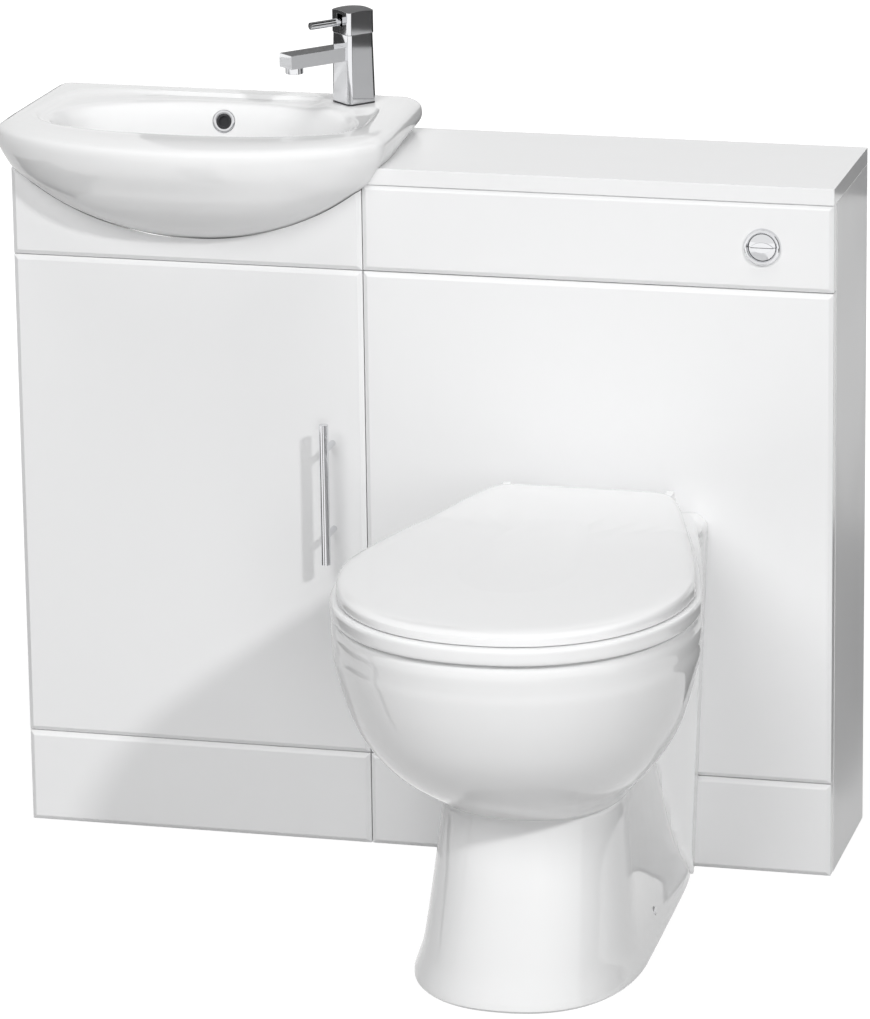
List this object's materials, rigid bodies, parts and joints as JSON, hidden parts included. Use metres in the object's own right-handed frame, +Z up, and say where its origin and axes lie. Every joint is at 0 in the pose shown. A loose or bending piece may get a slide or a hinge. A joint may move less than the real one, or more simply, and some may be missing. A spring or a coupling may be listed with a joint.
{
  "type": "toilet and basin combination unit",
  "caption": "White gloss cabinet unit with a cupboard under a semi-recessed basin with a mixer tap, beside a back-to-wall toilet with a concealed cistern.",
  "frame": {"origin": "on the wall face, at floor level, on the joint between the vanity unit and the WC unit", "axes": "X along the wall with the toilet on the +X side, +Y into the wall, +Z up"},
  "size_m": [0.914, 0.76, 0.9005],
  "materials": {
    "white_board": "white faced board",
    "gloss_front": "high-gloss white lacquer on board",
    "ceramic": "white glazed vitreous china, opaque",
    "chrome": "polished chrome plate",
    "steel": "nickel-plated steel",
    "brass": "turned brass",
    "white_plastic": "moulded white plastic",
    "cistern_plastic": "matt white moulding",
    "seat_plastic": "high-gloss white moulding",
    "rubber": "black rubber",
    "clear_rubber": "pale soft buffers"
  },
  "bodies": {
    "unit": {"vanity_side_left": "white_board", "vanity_side_right": "white_board", "vanity_base": "white_board", "vanity_wall_rail": "white_board", "vanity_cross_rail": "white_board", "vanity_fascia": "gloss_front", "vanity_plinth": "gloss_front", "vanity_shelf": "white_board", "shelf_pins": "steel", "hinge_plates": "steel", "basin": "ceramic", "overflow_ring": "chrome", "waste_body": "chrome", "waste_nut": "brass", "trap_body": "white_plastic", "trap_cup": "white_plastic", "trap_nuts": "white_plastic", "trap_outlet_pipe": "white_plastic", "tap_body": "chrome", "tap_aerator": "chrome", "tap_gasket": "rubber", "tap_clamp": "brass", "tap_tails": "steel", "isolating_valves": "steel", "wc_side_left": "white_board", "wc_side_right": "white_board", "wc_worktop": "gloss_front", "wc_fascia": "gloss_front", "wc_front_panel": "gloss_front", "wc_plinth": "gloss_front", "wc_wall_rail": "white_board", "wc_cross_rail": "white_board", "cistern_tank": "cistern_plastic", "cistern_lid": "cistern_plastic", "fill_valve": "white_plastic", "flush_valve": "white_plastic", "flush_pipe": "white_plastic", "button_bezel": "chrome", "air_tubes": "rubber", "pan": "ceramic", "flush_seal": "rubber", "pan_connector": "rubber", "floor_brackets": "steel", "seat_hinges": "chrome", "seat_buffers": "clear_rubber"},
    "door": {"door": "gloss_front", "hinge_cups": "steel", "handle_bar": "chrome", "handle_posts": "chrome", "handle_screws": "steel"},
    "hinge_links": {"hinge_arms": "steel"},
    "plug": {"waste_plug": "chrome"},
    "tap_head": {"tap_head": "chrome"},
    "tap_lever": {"tap_lever": "chrome"},
    "float": {"fill_float": "white_plastic"},
    "button_full": {"button_full": "chrome"},
    "button_half": {"button_half": "chrome"},
    "seat": {"seat": "seat_plastic"},
    "lid": {"lid": "seat_plastic", "lid_buffers": "clear_rubber"}
  },
  "joints": [
    {"name": "door_swing", "type": "hinge", "parent": "unit", "child": "door", "pos_m": [-0.389, -0.195, 0.3755], "axis": [0, 0, -1], "range_deg": [0, 95]},
    {"name": "hinge_fold", "type": "hinge", "parent": "unit", "child": "hinge_links", "pos_m": [-0.363, -0.172, 0.3755], "axis": [0, 0, -1], "range_deg": [0, 95]},
    {"name": "plug_lift", "type": "slide", "parent": "unit", "child": "plug", "axis": [0, 0, 1], "range_m": [0, 0.007]},
    {"name": "tap_temperature", "type": "hinge", "parent": "unit", "child": "tap_head", "pos_m": [-0.046, -0.044, 0.8735], "axis": [0, 0, 1], "range_deg": [-45, 45]},
    {"name": "tap_flow", "type": "hinge", "parent": "tap_head", "child": "tap_lever", "pos_m": [-0.05125, -0.05004, 0.8865], "axis": [-0.7547, 0.6561, 0], "range_deg": [0, 20]},
    {"name": "float_rise", "type": "hinge", "parent": "unit", "child": "float", "pos_m": [0.3506, -0.082, 0.582], "axis": [0, 1, 0], "range_deg": [0, 20]},
    {"name": "full_flush_press", "type": "slide", "parent": "unit", "child": "button_full", "axis": [0, 1, 0], "range_m": [0, 0.003], "stiffness_N_per_m": 300, "springref_m": -0.002},
    {"name": "half_flush_press", "type": "slide", "parent": "unit", "child": "button_half", "axis": [0, 1, 0], "range_m": [0, 0.003], "stiffness_N_per_m": 300, "springref_m": -0.002},
    {"name": "seat_lift", "type": "hinge", "parent": "unit", "child": "seat", "pos_m": [0.255, -0.232, 0.41626], "axis": [-1, 0, 0], "range_deg": [0, 90]},
    {"name": "lid_lift", "type": "hinge", "parent": "seat", "child": "lid", "pos_m": [0.255, -0.232, 0.41626], "axis": [1, 0, 0], "range_deg": [-91, 0]}
  ],
  "couplings": [
    {"joint": "hinge_fold", "follows": "door_swing", "ratio": 1}
  ]
}
